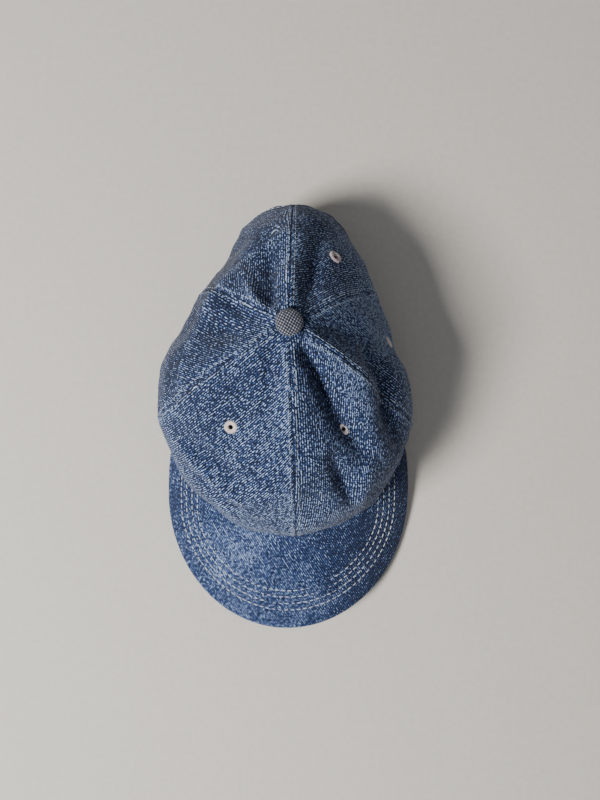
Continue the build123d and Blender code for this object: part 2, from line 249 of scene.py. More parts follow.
def grid_normals(points, outward):
    """Unit normals of a grid that closes across its rows, on the side of given directions."""
    wide = (np.roll(points, -1, axis=1) - np.roll(points, 1, axis=1)) / 2
    made = unit(np.cross(np.gradient(points, axis=0), wide))
    return made * np.sign(np.median(np.sum(made * outward, axis=-1)))


# ---------------------------------------------------------------- the crown's surface
def around_button(out, angle, up):
    """Points by distance from the button's axis, angle from the front and height over the hem."""
    return from_hem(out * np.sin(angle), BUTTON_BACK - out * np.cos(angle), up)


def reach(angle, front_radius=FRONT_RADIUS, back_radius=BACK_RADIUS):
    """Distance from the button's axis to an egg-shaped outline, at angles from the front."""
    t = np.linspace(0, 1, 161)[:, None]
    centre = FRONT_CENTRE + (BACK_CENTRE - FRONT_CENTRE) * t - BUTTON_BACK
    radius = front_radius + (back_radius - front_radius) * t
    along = -centre * np.cos(angle)
    return np.max(along + np.sqrt(np.maximum(along**2 - centre**2 + radius**2, 0)), axis=0)


def over_brim(points):
    """Height of points over the brim's bent top face, square to it."""
    up = (points - BRIM_AXIS) @ BRIM_UP
    return np.hypot(points[..., 0], up) - BEND


def hem_levels(angle):
    """Where the crown's wall ends over the hem plane: on the brim in front, at 0 elsewhere."""
    levels = np.linspace(-4, 30, 341)[:, None]
    walls = around_button(reach(angle), angle, levels)
    meets = levels[np.argmax(over_brim(walls) > 0, axis=0), 0]
    y = walls[0, :, 1]
    return np.maximum(meets, 0) * (1 - smoothstep(y, BRIM_END[1] - 4, BRIM_END[1] + 12))


def turned(angle):
    """Angles of the seams and panels: the front seam meets the brim a little right of its middle."""
    return angle + 0.055 * np.clip(np.cos(angle), 0, 1) ** 2


# The grid's columns crowd toward the seams, where the relief is finest.
column_share = (np.arange(AROUND) % COLUMNS) / COLUMNS
column_share = column_share - 0.55 * np.sin(2 * pi * column_share) / (2 * pi)
angles = turned((np.arange(AROUND) // COLUMNS + column_share) * (pi / 3))
curve = smooth_path([(share * MEAN_REACH, level) for level, share in MERIDIAN[::-1]], CURVE_POINTS)
curve_share, curve_level = curve[:, 0] / MEAN_REACH, curve[:, 1]
curve_at = np.arange(float(CURVE_POINTS))
near_button = CURVE_POINTS // 3
hem_at = np.interp(-hem_levels(angles), -curve_level, curve_at)
top_at = np.interp(TOP_GAP / MEAN_REACH, curve_share[:near_button], curve_at[:near_button])
down = np.linspace(0, 1, ROWS)[:, None]
place = top_at + (hem_at - top_at) * down
share = np.interp(place, curve_at, curve_share)
level = np.interp(place, curve_at, curve_level)
unfolded = around_button(reach(angles) * share, angles, level)
# How far down the cloth each point lies from the button's axis.
length_down = np.vstack((np.zeros((1, AROUND)),
                         np.cumsum(np.linalg.norm(np.diff(unfolded, axis=0), axis=2), axis=0))) + TOP_GAP
FOLDS = (
    # Path seen from above, depth (valleys negative) and half width.
    (((6, 48), (12, 36), (19, 25), (26, 14)), -6.0, 4.0),
    (((18, 27), (27, 12), (37, -2), (53, -20)), -6.5, 6.5),
    (((27, 44), (39, 26), (50, 9), (59, -8)), 1.2, 8.0),
    (((50, 42), (60, 26), (66, 6), (72, -12)), -7.0, 6.5),
    (((-8, 46), (-11, 24), (-14, 0)), -3.0, 5.0),
    (((-9, 68), (-13, 88), (-15, 112)), -5.0, 6.0),
    (((-13, 62), (-22, 76), (-30, 92)), 3.0, 3.6),
    (((-18, 58), (-34, 70), (-48, 84)), -2.6, 3.6),
    (((-20, 54), (-38, 62), (-54, 70)), 2.0, 3.6),
    (((9, 70), (14, 92), (17, 116)), -4.0, 6.0),
    (((-67, -14), (-48, -32), (-24, -49)), 3.6, 2.8),
    (((-62, -30), (-46, -42), (-28, -54)), -2.6, 3.0),
    (((-68, -4), (-50, -20), (-28, -36)), -3.2, 4.5),
    (((-46, 76), (-58, 58), (-70, 40)), 3.5, 5.0),
    (((28, -22), (34, -34), (42, -48)), -4.6, 5.0),
    (((56, -18), (50, -36), (44, -52)), 3.0, 5.0),
    # The left side stands out in a corner, and the back of it falls in.
    (((-88, 58), (-86, 38), (-84, 18)), 5.5, 13.0),
    (((-56, 98), (-48, 112), (-36, 128)), -5.5, 13.0),
)


def fold(plan, path, depth, width, count=60):
    """A valley or ridge along a path, fading at both its ends."""
    best = np.full(plan.shape[:-1], 1e9)
    where = np.zeros(plan.shape[:-1])
    for k, point in enumerate(smooth_path(path, count)):
        gap = np.linalg.norm(plan - point, axis=-1)
        where = np.where(gap < best, k / (count - 1), where)
        best = np.minimum(best, gap)
    fade = np.clip(np.sin(pi * (0.06 + 0.88 * where)), 0, 1) ** 0.6
    return depth * fade * bump_on(best, 0, width)


def lean(points):
    """How far across the right side of the crown has sunk inward."""
    x, y = points[..., 0], points[..., 1]
    level = (points - HEM_BACK) @ UPWARD
    return -5.5 * smoothstep(x, 10, 66) * bump_on(y, 44, 80) * smoothstep(level, 2, 30)


# The fold that laps over the crown's left side: its middle and half width round the crown, and how
# far down the cloth its lip lies there. The lip lies lower toward both its ends, more so in front.
LAP_MIDDLE, LAP_HALF, LAP_LIP = radians(241), radians(54), 61.0
LIP_DROP_BACK, LIP_DROP_FRONT, LIP_DROP_AT = 4, 11, radians(35)
# Down to LAP_TOP the cloth lies in place. It then slides down to the lip, runs back up under itself
# to LAP_TURNED above the lip, turns down again, and is back in place at LAP_END.
LAP_TOP, LAP_TURN, LAP_TURNED = 22, 26, 17
LAP_END, CLOTH_END = 142, 400
LAP_LIFT_AT, LAP_LIFT = (-28, -13, -9, -2, LAP_TURN), (0, 2.6, 2.3, -1.6, -2.6, 0)
LAP_LIFT_END = 132


def softened(rows, half, width):
    """A grid averaged down its columns, with its first and last rows kept."""
    weights = np.exp(-(np.arange(-half, half + 1) / width) ** 2)
    padded = np.pad(rows, ((half, half), (0, 0)), mode="reflect", reflect_type="odd")
    return sum(w * padded[i:i + len(rows)] for i, w in enumerate(weights)) / weights.sum()


def flank_fold(angle, cloth):
    """The left side's lap: where cloth lies, how far out, its wear and painted shade, and how far in the
    lining is.
    """
    off = (angle - LAP_MIDDLE + pi) % (2 * pi) - pi
    amount = np.exp(-(off / LAP_HALF) ** 6)
    drop = np.where(off > 0, LIP_DROP_FRONT, LIP_DROP_BACK)
    lip = LAP_LIP + drop * (np.clip(off, -1, 1) / LIP_DROP_AT) ** 2
    laid, lift = np.empty(cloth.shape), np.empty(cloth.shape)
    for c, at in enumerate(lip):
        laid[:, c] = np.interp(cloth[:, c], (0, LAP_TOP, at - 10, at + LAP_TURN, LAP_END, CLOTH_END),
                               (0, LAP_TOP, at - 1, at - LAP_TURNED, LAP_END, CLOTH_END))
        lift[:, c] = np.interp(cloth[:, c], [at + k for k in LAP_LIFT_AT] + [LAP_LIFT_END], LAP_LIFT)
    laid, lift = softened(laid, 4, 2.0), softened(lift, 4, 2.0)
    # A pale worn lip, and below it a darker strip of painted shade.
    wear = 0.8 * bump_on(cloth, lip - 11, 2.6) - 0.8 * bump_on(cloth, lip + 32, 13)
    under = -3.2 * smoothstep(cloth, lip - 34, lip - 14) * (1 - smoothstep(cloth, 110, 135))
    return cloth + (laid - cloth) * amount, lift * amount, wear * amount, under * amount


def along_columns(grid, lengths, wanted):
    """A grid of points or directions taken again at other lengths down each of its columns."""
    return np.stack([read_along(wanted[:, c], lengths[:, c], grid[:, c]) for c in range(AROUND)], axis=1)


def widths_round(points):
    """Distance from each point of the closed crown grid to the next one in its row."""
    return np.linalg.norm(np.roll(points, -1, axis=1) - points, axis=2)


def seam_distance(widths):
    """Distance along each row from every point to its nearest seam."""
    total = np.zeros(widths.shape)
    for p in range(6):
        span = slice(p * COLUMNS, (p + 1) * COLUMNS)
        along = np.cumsum(widths[:, span], axis=1) - widths[:, span]
        whole = widths[:, span].sum(axis=1, keepdims=True)
        total[:, span] = np.minimum(along, whole - along)
    return total


from_seam = seam_distance(widths_round(unfolded))
to_hem = length_down[-1] - length_down
middle = np.sin(3 * angles) ** 2
unfolded_normals = grid_normals(unfolded, unfolded - from_hem(0.0, BUTTON_BACK, 0.0))
hem_hold = smoothstep(to_hem, 0, 22)
near_top = smoothstep(length_down, 6, 22)
ridge = 0.65 * bump_on(from_seam, 0, 3.6) - 0.55 * bump_on(from_seam, 0, 0.5)


def relief(points, share_down):
    """How far the crown stands out of its smooth shape at points, and the tone that this gives: darker in
    valleys and sags, painted shade, and paler on ridges, wear.
    """
    sag = -5.5 * middle * bump_on(share_down, 0.34, 0.24) - 1.5 * middle * bump_on(share_down, 0.75, 0.2)
    creases = sum(fold(points[..., :2], *f) for f in FOLDS)
    rolls = 0.9 * soft_noise(points, 46, 3) + 0.35 * soft_noise(points, 19, 4)
    puckers = 0.22 * soft_noise(points, 6.5, 5) * bump_on(from_seam, 3.5, 5.0)
    total = (sag + creases + rolls * near_top) * hem_hold * near_top
    total = total + (ridge + puckers) * smoothstep(to_hem, 0, 3)
    # Painted shade in the valleys and sags, and paler wear on the ridges.
    return total, 0.12 * creases + 0.06 * sag


def leaning(points):
    return points + lean(points)[..., None] * ACROSS


# The folded cloth, and the smoother lining under it that the seam tapes follow.
laid, lap, lap_wear_and_shade, lap_under = flank_fold(angles, length_down)
normals = unit(along_columns(unfolded_normals, length_down, laid))
base = along_columns(unfolded, length_down, laid)
shares = np.stack([np.interp(laid[:, c], length_down[:, c], down[:, 0]) for c in range(AROUND)], axis=1)
height, relief_shade_and_wear = relief(base, shares)
crown = leaning(base + normals * (height + lap)[..., None])
height, _ = relief(unfolded, down * np.ones((1, AROUND)))
lining = leaning(unfolded + unfolded_normals * (height + lap_under)[..., None])
lining_normals = grid_normals(lining, unfolded_normals)
crown_normals = grid_normals(crown, normals)
inner_crown = crown - crown_normals * CLOTH
step_wide = widths_round(crown)
from_seam = seam_distance(step_wide)


def arch_gap(points):
    """Distance outside the back opening's outline; negative inside it, large in front."""
    offset = points - HEM_BACK
    x, up = offset @ ACROSS, offset @ UPWARD
    gap = np.where(up > ARCH_STRAIGHT, np.hypot(x, up - ARCH_STRAIGHT) - ARCH_RADIUS,
                   np.abs(x) - ARCH_RADIUS)
    return np.where(offset @ BACKWARD > -60, gap, 100)


def sample(grid, rows, columns):
    """Points of the closed crown grid between its rows and columns."""
    row, column = np.floor(rows).astype(int), np.floor(columns).astype(int)
    row = np.clip(row, 0, ROWS - 2)
    down, right = (rows - row)[..., None], (columns - column)[..., None]
    near, far = column % AROUND, (column + 1) % AROUND
    upper = grid[row, near] * (1 - right) + grid[row, far] * right
    lower = grid[row + 1, near] * (1 - right) + grid[row + 1, far] * right
    return upper * (1 - down) + lower * down


crown_tree = BVHTree.FromPolygons(crown.reshape(-1, 3).tolist(),
                                  grid_quads(ROWS, AROUND, closed=True).tolist())


def on_crown(start, direction):
    """Where a ray meets the crown's outside, with the outward normal there."""
    hit, normal, _, _ = crown_tree.ray_cast(Vector(start), Vector(direction))
    hit, normal = np.array(hit), np.array(normal)
    return hit, normal if normal @ direction < 0 else -normal


# ---------------------------------------------------------------- materials
def node(tree, kind, inputs=(), **settings):
    """A new node with the given input values and settings."""
    made = tree.nodes.new(kind)
    for key, value in settings.items():
        setattr(made, key, value)
    for key, value in dict(inputs).items():
        made.inputs[key].default_value = value
    return made


class Cloth:
    """A procedural material under construction, with short calls for its nodes."""

    def __init__(self, name, roughness=0.85, metallic=0.0, sheen=0.0):
        self.material = bpy.data.materials.new(name)
        self.material.use_nodes = True
        self.tree = self.material.node_tree
        self.shader = self.tree.nodes["Principled BSDF"]
        for key, value in (("Roughness", roughness), ("Metallic", metallic), ("Sheen Weight", sheen),
                           ("Sheen Roughness", 0.6), ("Specular IOR Level", 0.25)):
            self.shader.inputs[key].default_value = value

    def link(self, value, socket):
        if isinstance(value, (int, float)):
            socket.default_value = value
        elif isinstance(value, tuple):
            socket.default_value = value if len(value) == len(socket.default_value) else (*value, 1)
        else:
            self.tree.links.new(value, socket)

    def math(self, operation, a, b=0.0, c=0.0):
        made = node(self.tree, "ShaderNodeMath", operation=operation)
        for value, socket in zip((a, b, c), made.inputs):
            self.link(value, socket)
        return made.outputs[0]

    def stretch(self, vector, scale, turn=0.0):
        turned = {"Rotation": (0, 0, radians(turn)), "Scale": scale}
        mapping = node(self.tree, "ShaderNodeMapping", turned, vector_type="POINT")
        self.link(vector, mapping.inputs["Vector"])
        return mapping.outputs[0]

    def uv(self, turn=0.0, scale=(1, 1, 1)):
        """The cloth's own coordinates in millimetres, turned and scaled."""
        coordinates = node(self.tree, "ShaderNodeUVMap", uv_map="cloth").outputs[0]
        return self.stretch(coordinates, [PER_METRE * k for k in scale], turn)

    def own(self):
        """The object's own coordinates in millimetres."""
        coordinates = node(self.tree, "ShaderNodeTexCoord").outputs["Object"]
        return self.stretch(coordinates, (PER_METRE, PER_METRE, PER_METRE))

    def noise(self, vector, scale, detail=3.0, rough=0.5):
        made = node(self.tree, "ShaderNodeTexNoise", {"Scale": scale, "Detail": detail, "Roughness": rough})
        self.link(vector, made.inputs["Vector"])
        return made.outputs["Fac"]

    def wave(self, vector, scale, distortion=0.0, direction="X", detail_scale=1.0):
        made = node(self.tree, "ShaderNodeTexWave",
                    {"Scale": scale, "Distortion": distortion, "Detail": 1.0, "Detail Scale": detail_scale},
                    wave_profile="SIN", bands_direction=direction)
        self.link(vector, made.inputs["Vector"])
        return made.outputs["Fac"]

    def ramp(self, value, stops):
        made = node(self.tree, "ShaderNodeValToRGB")
        elements = made.color_ramp.elements
        while len(elements) < len(stops):
            elements.new(0.5)
        for element, (position, colour) in zip(elements, stops):
            element.position = position
            element.color = (*colour, 1)
        self.link(value, made.inputs["Fac"])
        return made.outputs["Color"]

    def attribute(self, name):
        return node(self.tree, "ShaderNodeAttribute", attribute_name=name).outputs["Fac"]

    def bump(self, height, strength, distance):
        made = node(self.tree, "ShaderNodeBump", {"Strength": strength, "Distance": distance})
        self.link(height, made.inputs["Height"])
        self.link(made.outputs[0], self.shader.inputs["Normal"])

    def colour(self, value):
        self.link(value, self.shader.inputs["Base Color"])

    def rough(self, value):
        self.link(value, self.shader.inputs["Roughness"])


def denim(name, turn=-24.0, light=0.0, contrast=1.0):
    """Washed indigo denim: twill lines broken into pale and dark flecks, paler where it is worn, and
    lighter or darker where light and shade are painted in.
    """
    m = Cloth(name, sheen=0.08)
    twill = m.uv(turn=turn)
    lines = m.wave(twill, TWILL_PITCH_SCALE, distortion=1.3, detail_scale=0.8)
    dash = m.noise(m.stretch(twill, (0.92, 0.46, 1)), 1.0, detail=1.5, rough=0.6)
    salt = m.noise(m.uv(scale=(1.15, 0.9, 1)), 1.0, detail=1.0)
    slub = m.noise(m.uv(scale=(0.9, 0.06, 1)), 1.0, detail=2.0)
    mottle = m.noise(m.uv(), 0.09, detail=4.0, rough=0.6)
    wash = m.noise(m.uv(), 0.02, detail=2.0)
    # The cloth's wear and, on the crown and brim, painted light and shade.
    wear = m.attribute("wear")
    weights = [(k, w * contrast) for k, w in ((lines, 0.55), (dash, 1.75), (salt, 1.4), (slub, 0.25))]
    total = 0.5 + light - sum(w for _, w in weights) / 2
    for value, weight in weights:
        total = m.math("MULTIPLY_ADD", value, weight, total)
    height = total
    total = m.math("ADD", total, -0.405)
    for value, weight in ((mottle, 0.45), (wash, 0.36), (wear, 0.2)):
        total = m.math("MULTIPLY_ADD", value, weight, total)
    m.colour(m.ramp(total, (
        (0.04, (0.0015, 0.004, 0.015)), (0.34, (0.0035, 0.010, 0.042)),
        (0.52, (0.0090, 0.026, 0.098)), (0.70, (0.033, 0.072, 0.205)),
        (0.98, (0.380, 0.495, 0.720)))))
    m.rough(m.math("MULTIPLY_ADD", dash, 0.14, 0.78))
    m.bump(height, 0.5, 0.0004)
    return m.material


def woven_tape(name, dark, pale, pitch=0.9):
    """A narrow cotton weave of crossing threads."""
    m = Cloth(name, sheen=0.1)
    warp = m.wave(m.uv(), 0.31 / pitch, distortion=0.4)
    weft = m.wave(m.uv(), 0.31 / pitch, distortion=0.4, direction="Y")
    fuzz = m.noise(m.uv(), 1.4, detail=3.0)
    weave = m.math("MULTIPLY", warp, weft)
    total = m.math("MULTIPLY_ADD", weave, 0.5, m.math("MULTIPLY", fuzz, 0.7))
    m.colour(m.ramp(total, ((0.2, dark), (0.85, pale))))
    m.rough(m.math("MULTIPLY_ADD", fuzz, 0.2, 0.75))
    m.bump(total, 0.5, 0.0004)
    return m.material


def thread(name, dark, pale):
    """Twisted sewing thread, a little soiled."""
    m = Cloth(name, sheen=0.1)
    twist = m.noise(m.own(), 2.2, detail=2.0)
    soil = m.noise(m.own(), 0.12, detail=3.0)
    total = m.math("MULTIPLY_ADD", twist, 0.5, m.math("MULTIPLY", soil, 0.5))
    m.colour(m.ramp(total, ((0.32, dark), (0.62, pale))))
    m.rough(m.math("MULTIPLY_ADD", twist, 0.2, 0.65))
    m.bump(twist, 0.4, 0.0002)
    return m.material


def button_cloth():
    """The coarser, greyer weave of the button, faded on its top."""
    m = Cloth("button_cloth", sheen=0.1)
    wear = m.attribute("wear")
    fuzz = m.noise(m.own(), 1.6, detail=3.0, rough=0.6)
    soft = m.noise(m.own(), 0.25, detail=2.0)
    total = m.math("MULTIPLY_ADD", fuzz, 0.5, m.math("MULTIPLY", soft, 0.12))
    total = m.math("MULTIPLY_ADD", wear, 0.62, total)
    m.colour(m.ramp(total, ((0.44, (0.004, 0.006, 0.014)), (0.74, (0.030, 0.036, 0.060)),
                            (0.98, (0.46, 0.46, 0.50)))))
    m.rough(m.math("MULTIPLY_ADD", fuzz, 0.16, 0.76))
    m.bump(fuzz, 0.5, 0.0003)
    return m.material


def aged_brass():
    """Brass with a brown patina, rubbed bright in patches."""
    m = Cloth("aged_brass", metallic=1.0)
    m.shader.inputs["Specular IOR Level"].default_value = 0.5
    patina = m.noise(m.own(), 0.35, detail=5.0, rough=0.65)
    scratch = m.noise(m.stretch(m.own(), (0.3, 0.3, 3.0)), 1.2, detail=3.0)
    m.colour(m.ramp(patina, ((0.35, (0.12, 0.075, 0.035)), (0.55, (0.36, 0.24, 0.10)),
                             (0.75, (0.60, 0.44, 0.20)))))
    m.rough(m.math("MULTIPLY_ADD", scratch, 0.3, 0.28))
    m.bump(scratch, 0.15, 0.0001)
    return m.material


def satin_metal():
    m = Cloth("satin_metal", metallic=1.0)
    brushed = m.noise(m.own(), 1.5, detail=3.0)
    m.colour(m.ramp(brushed, ((0.3, (0.38, 0.38, 0.39)), (0.7, (0.58, 0.58, 0.60)))))
    m.rough(m.math("MULTIPLY_ADD", brushed, 0.2, 0.3))
    return m.material


def moulded(name, dark, pale):
    m = Cloth(name)
    grain = m.noise(m.own(), 0.8, detail=4.0)
    m.colour(m.ramp(grain, ((0.3, dark), (0.7, pale))))
    m.rough(m.math("MULTIPLY_ADD", grain, 0.2, 0.45))
    m.bump(grain, 0.1, 0.0002)
    return m.material


def floor_paint():
    m = Cloth("floor_paint", roughness=0.8)
    grain = m.noise(m.own(), 0.25, detail=3.0)
    m.colour(m.ramp(grain, ((0.3, (0.60, 0.57, 0.51)), (0.7, (0.64, 0.61, 0.55)))))
    m.bump(grain, 0.08, 0.001)
    return m.material


NAVY_DARK, NAVY_PALE = (0.012, 0.022, 0.05), (0.055, 0.085, 0.15)
crown_denim = denim("crown_denim", light=-0.05, contrast=1.25)
brim_denim = denim("brim_denim", 32.0, 0.0, 0.85)
tape_cloth = woven_tape("cotton_tape", NAVY_DARK, NAVY_PALE)
band_cloth = woven_tape("cotton_band", NAVY_DARK, NAVY_PALE, 1.2)
pale_thread = thread("pale_thread", (0.36, 0.40, 0.47), (0.74, 0.76, 0.80))
eyelet_thread = thread("eyelet_thread", (0.46, 0.36, 0.35), (0.80, 0.72, 0.70))
faded_thread = thread("faded_thread", (0.13, 0.18, 0.28), (0.56, 0.61, 0.70))


def finish_piece(obj, material, body="cap", replaces=()):
    obj.data.materials.append(material)
    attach(obj, body)
    if replaces:
        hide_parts(*replaces)
    return obj


# ---------------------------------------------------------------- eyelets' places
# Places as seen from above; the left side and back ones mirror the right ones on their panels.
EYELETS_ABOVE = {"front_right": (32.8, -2.6), "side_right": (61.2, 51.2), "back_right": (26.2, 98.8),
                 "front_left": (-32.8, -2.6)}
eyelets = {}
for name, above in EYELETS_ABOVE.items():
    gap = np.linalg.norm(crown[..., :2] - above, axis=-1) + 99.0 * (length_down > 95)
    eyelets[name] = np.array(np.unravel_index(np.argmin(gap), gap.shape), float)
for name in ("side", "back"):
    row, column = eyelets[f"{name}_right"]
    eyelets[f"{name}_left"] = np.array((row, AROUND - column))
eyelets = {name: [sample(k, at[:1], at[1:])[0] for k in (crown, crown_normals, unfolded)]
           for name, at in eyelets.items()}


# ---------------------------------------------------------------- crown panels
def panel_span(index):
    return np.arange(index * COLUMNS, (index + 1) * COLUMNS + 1) % AROUND


def panel_wear_and_shade(span, points):
    """Tone of each panel: paler beside the seams from wear and darker along the seam line; paler on the
    right toward the back and darker on the left, painted light and shade; and the folds' painted shade and
    wear.
    """
    worn_and_shaded = (0.3 * bump_on(from_seam[:, span], 3.4, 1.2) - 0.25 * bump_on(from_seam[:, span], 0, 0.8)
            + relief_shade_and_wear[:, span] + lap_wear_and_shade[:, span])
    # Paler on the right toward the back: painted light.
    worn_and_shaded += 0.6 * smoothstep(points[..., 0], 15, 55) * smoothstep(points[..., 1], 10, 60)
    # Darker on the left toward the back: painted shade.
    worn_and_shaded -= 0.75 * smoothstep(-points[..., 0], 8, 50) * smoothstep(points[..., 1], -30, 50)
    return np.clip(worn_and_shaded, -1, 1)


def cell_middles(points):
    return (points[1:, 1:] + points[:-1, :-1]) / 2


def panel(index, name):
    """One panel: its cells round the eyelet's hole and inside the back opening are left out."""
    span = panel_span(index)
    outer, flat = crown[:, span], unfolded[:, span]
    widths = np.linalg.norm(np.diff(flat, axis=1), axis=2)
    across = np.hstack((np.zeros((ROWS, 1)), np.cumsum(widths, axis=1)))
    across -= across[:, COLUMNS // 2][:, None]
    uv = np.stack((across, laid[:, span]), axis=-1)
    keep = np.linalg.norm(cell_middles(flat) - eyelets[name][2], axis=-1) > EYELET_HOLE
    keep &= arch_gap(cell_middles(outer)) > 1.2
    return shell(f"{name}_panel_cloth", outer, inner_crown[:, span], uv, panel_wear_and_shade(span, outer), keep)


for index, name in enumerate(PANELS):
    finish_piece(panel(index, name), crown_denim, replaces=(f"{name}_panel",))


# ---------------------------------------------------------------- stitching
def stitches(name, paths, material, slot="white_thread", body="cap", length=2.5, gap=0.8,
             thick=0.2, proud=0.12):
    """Runs of short stitches, each a thread that rises from the cloth and dips back into it."""
    rng = np.random.default_rng(len(name))
    ring = np.array([(cos(a), sin(a)) for a in np.arange(6) * pi / 3])
    shape = np.array((-0.25, 0.75, 1.0, 0.75, -0.25))
    radii = thick * np.array((0.55, 1.0, 1.05, 1.0, 0.55))
    points, faces = [], []
    for path, normal in paths:
        steps = lengths_along(path)
        starts = np.arange(0.4, steps[-1] - length, length + gap)
        starts = starts + rng.uniform(-0.12, 0.12, len(starts))
        for start in starts:
            at = start + length * rng.uniform(0.94, 1.04) * np.linspace(0, 1, len(shape))
            up = unit(read_along(at, steps, normal))
            line = read_along(at, steps, path) + up * (proud * shape)[:, None]
            side = unit(np.cross(up, line[-1] - line[0]))
            tube = (line[:, None] + radii[:, None, None]
                    * (ring[None, :, :1] * side[:, None] + ring[None, :, 1:] * up[:, None]))
            faces += tube_faces(len(shape), len(ring), len(points) * len(shape) * len(ring))
            points.append(tube.reshape(-1, 3))
    return finish_piece(make_mesh(name, np.vstack(points), faces), material, body=body)


def column_at(seam, offset):
    """For each row, the grid column that lies offset along the row from a seam."""
    start = seam * COLUMNS
    ahead = np.arange(COLUMNS // 2)
    if offset < 0:
        columns = (start - 1 - ahead) % AROUND
        direction = -1
    else:
        columns = (start + ahead) % AROUND
        direction = 1
    along = np.cumsum(step_wide[:, columns], axis=1)
    steps = np.array([np.interp(abs(offset), np.r_[0, row], np.arange(len(row) + 1.0)) for row in along])
    return start + direction * steps


def seam_path(seam, offset, first, last_gap):
    """Points and normals down a line beside a seam, from near the button to near the hem."""
    columns = column_at(seam, offset)
    rows = np.arange(float(ROWS))
    path = sample(crown, rows, columns)
    normal = unit(sample(crown_normals, rows, columns))
    column = seam * COLUMNS
    use = (length_down[:, column] > first) & (to_hem[:, column] > last_gap)
    use &= arch_gap(path) > BINDING_WIDTH + 1
    return path[use], normal[use]


stitches("crown_topstitching",
         [seam_path(k, side * SEAM_STITCH, 10, 1.5) for k in range(6) for side in (-1, 1)],
         faded_thread, length=2.3, gap=1.1, thick=0.17)
hem_rows = [(crown[-1 - k], crown_normals[-1 - k]) for k in (3, 4)]
hem_line = (hem_rows[0][0] + hem_rows[1][0]) / 2
behind = (hem_line[:, 1] > BRIM_END[1] + 6) & (arch_gap(hem_line) > BINDING_WIDTH)
for side, name in ((1, "right"), (-1, "left")):
    part = np.flatnonzero(behind & (side * hem_line[:, 0] > 0))
    stitches(f"hem_topstitching_{name}", [(hem_line[part], hem_rows[0][1][part])], faded_thread)


# ---------------------------------------------------------------- pieces made of rings
def from_rings(name, rings, uv=None, wear=None):
    """A closed body through a row of closed rings of points, with flat ends."""
    rings = np.asarray(rings)
    return make_mesh(name, rings.reshape(-1, 3), tube_faces(*rings.shape[:2]),
                     None if uv is None else np.asarray(uv).reshape(-1, 2),
                     None if wear is None else np.asarray(wear).ravel())


def band_section(width, thick, count=9):
    """A flat strap's section: points (across, through) round it, with rounded edges."""
    flat = np.linspace(-width / 2 + thick / 2, width / 2 - thick / 2, count)
    turn_right = np.radians((60, 20, -20, -60))
    face = [(x, thick / 2) for x in flat]
    right = [(width / 2 - thick / 2 + thick / 2 * cos(a), thick / 2 * sin(a)) for a in turn_right]
    back = [(x, -thick / 2) for x in flat[::-1]]
    left = [(-x, -y) for x, y in right]
    return np.array(face + right + back + left)


def sweep_band(name, centre, across, through, width, thick, widths=None):
    """A strap along a path: across is its width's direction and through its outward face's."""
    section = band_section(width, thick)
    scale = np.ones(len(centre)) if widths is None else widths
    rings = (centre[:, None] + across[:, None] * (section[None, :, :1] * scale[:, None, None])
             + through[:, None] * section[None, :, 1:])
    uv = np.stack(np.broadcast_arrays(section[None, :, 0], lengths_along(centre)[:, None]), axis=-1)
    edge = np.abs(section[:, 0]) > width / 2 - thick
    return from_rings(name, rings, uv, np.broadcast_to(0.5 * edge, rings.shape[:2]))


# ---------------------------------------------------------------- eyelets
EYELET_RADIUS, EYELET_WRAP, EYELET_RISE, EYELET_THREAD = 2.75, 1.2, 0.82, 0.27
EYELET_CORE = (1.1, 0.72)


def wound_thread(centre, side, other, normal, wobbles, per_wrap, sides):
    """The points of a thread wound round an eyelet's ring, one row across the thread for each step."""
    wraps = len(wobbles)
    lap = np.linspace(0, 2 * pi, wraps * per_wrap, endpoint=False)
    twist = lap * wraps
    wobble = 1 + 0.06 * np.repeat(wobbles, per_wrap)
    out = side * np.cos(lap)[:, None] + other * np.sin(lap)[:, None]
    radial, upright = EYELET_RADIUS + EYELET_WRAP * np.cos(twist) * wobble, EYELET_RISE * np.sin(twist)
    path = centre + out * radial[:, None] + normal * upright[:, None]
    away = unit(out * np.cos(twist)[:, None] * EYELET_WRAP + normal * np.sin(twist)[:, None] * EYELET_RISE)
    along = unit(np.roll(path, -1, axis=0) - np.roll(path, 1, axis=0))
    beside = unit(np.cross(along, away))
    a = np.arange(sides) * 2 * pi / sides
    ring = away[:, None] * np.cos(a)[:, None] + beside[:, None] * np.sin(a)[:, None]
    return path[:, None] + EYELET_THREAD * ring


def eyelet(name, centre, normal, wraps=40, per_wrap=10, sides=6):
    """Close stitches wound round a ring, as a buttonhole machine makes them."""
    side = unit(np.cross(normal, (0.3, 1.0, 0.2)))
    other = np.cross(normal, side)
    centre = centre - normal * CLOTH * 0.35
    wobbles = np.random.default_rng(len(name)).uniform(-1, 1, wraps)
    thread_points = wound_thread(centre, side, other, normal, wobbles, per_wrap, sides).reshape(-1, 3)
    lap, turn = np.meshgrid(np.arange(40) * 2 * pi / 40, np.arange(10) * 2 * pi / 10, indexing="ij")
    out = side * np.cos(lap)[..., None] + other * np.sin(lap)[..., None]
    core = (centre + out * (EYELET_RADIUS + EYELET_CORE[0] * np.cos(turn))[..., None]
            + normal * (EYELET_CORE[1] * np.sin(turn))[..., None])
    faces = np.vstack((torus_quads(wraps * per_wrap, sides), torus_quads(*lap.shape, len(thread_points))))
    return make_mesh(name, np.vstack((thread_points, core.reshape(-1, 3))), faces)


for name, (hole, normal, _) in eyelets.items():
    finish_piece(eyelet(f"{name}_eyelet_stitches", hole, unit(normal)), eyelet_thread,
                 replaces=(f"{name}_eyelet",))


# ---------------------------------------------------------------- button
BUTTON_RADIUS, BUTTON_EDGE, BUTTON_HEIGHT, BUTTON_LEVEL = 7.7, 2.4, 5.6, 106.2
WEAVE_PITCH = 1.5


